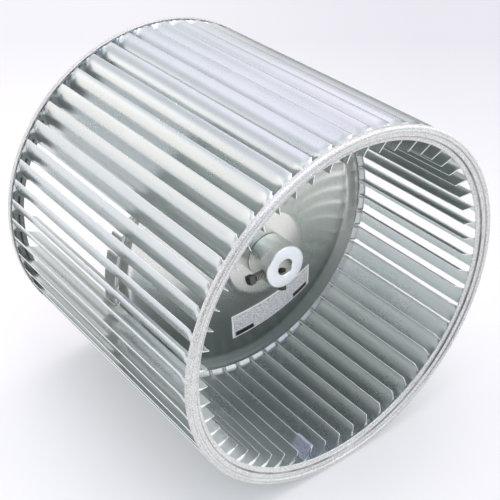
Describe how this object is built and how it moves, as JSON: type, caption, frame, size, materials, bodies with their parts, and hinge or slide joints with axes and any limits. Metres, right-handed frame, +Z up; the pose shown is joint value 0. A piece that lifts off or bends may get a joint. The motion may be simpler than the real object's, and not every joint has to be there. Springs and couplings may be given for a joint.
{
  "type": "blower motor wheel",
  "caption": "Double-inlet forward-curved blower wheel: a lanced blade strip between two end rings, a dished centre disc and a turned hub held to the shaft by set screws.",
  "frame": {"origin": "centre of the wheel: on the shaft's axis, halfway between the two end rings", "axes": "the shaft runs along Y with the hub end towards -Y; +Z is up with the wheel standing on its rim; +X completes the right-handed frame"},
  "size_m": [0.2708, 0.24, 0.2708],
  "materials": {
    "galvanised_sheet": "bright zinc coating, smooth rolled sheet",
    "galvanised_ring": "zinc coating with fine grain and roll marks",
    "galvanised_disc": "zinc coating with fine grain",
    "turned_steel": "turned and plated, fine turning marks",
    "black_oxide": "black oxide on a rolled thread",
    "clip_steel": "zinc plated spring steel",
    "label_foil": "matte silver foil with a pale border and two dark bars"
  },
  "bodies": {
    "wheel": {"blade_strip": "galvanised_sheet", "end_ring_hub_side": "galvanised_ring", "end_ring_far_side": "galvanised_ring", "centre_disc": "galvanised_disc", "hub": "turned_steel", "balance_clip": "clip_steel", "disc_label": "label_foil"},
    "set_screw_1": {"set_screw_1": "black_oxide"},
    "set_screw_2": {"set_screw_2": "black_oxide"}
  },
  "joints": [
    {"name": "set_screw_1_travel", "type": "slide", "parent": "wheel", "child": "set_screw_1", "axis": [-0.9976, 0, -0.0698], "range_m": [-0.008, 0.003]},
    {"name": "set_screw_2_travel", "type": "slide", "parent": "wheel", "child": "set_screw_2", "axis": [0.0698, 0, -0.9976], "range_m": [0, 0.011]}
  ]
}
